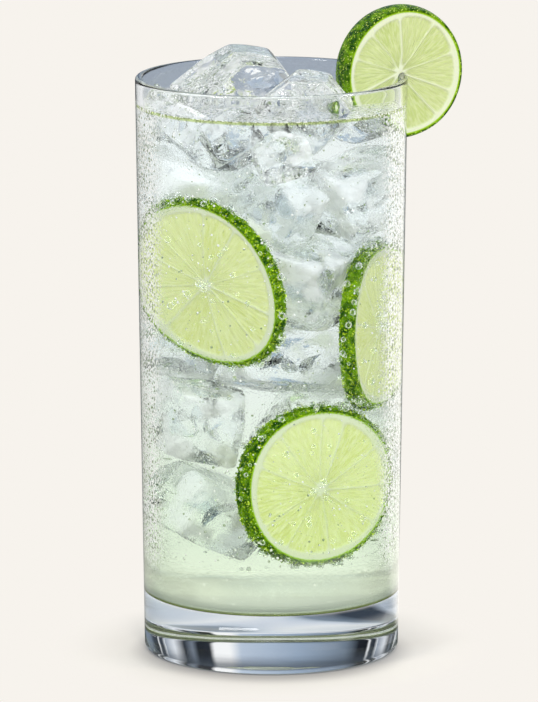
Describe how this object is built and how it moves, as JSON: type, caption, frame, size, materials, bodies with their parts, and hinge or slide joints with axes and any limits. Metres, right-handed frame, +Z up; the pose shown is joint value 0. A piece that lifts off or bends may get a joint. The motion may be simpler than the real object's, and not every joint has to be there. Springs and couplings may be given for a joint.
{
  "type": "lime lemonade in a glass",
  "caption": "Tall clear tumbler of iced lime lemonade, with ice above the drink and a lime wheel slit over the rim.",
  "frame": {"origin": "centre of the glass's foot, on the surface that it stands on", "axes": "+Z up along the glass's axis, +X towards the side that carries the lime wheel, -Y the front"},
  "size_m": [0.0917, 0.076, 0.1818],
  "materials": {
    "clear_glass": "polished, clear",
    "lemonade": "clear liquid, slightly cloudy, pale green",
    "lime": "moist fruit: dimpled green peel, pale pith, translucent pulp",
    "ice": "clear wet ice with cloudy cores"
  },
  "bodies": {
    "root": {"tumbler": "clear_glass", "drink": "lemonade", "lime_garnish": "lime", "ice_tall": "ice", "ice_low": "ice", "ice_front": "ice", "ice_back": "ice"}
  },
  "joints": []
}
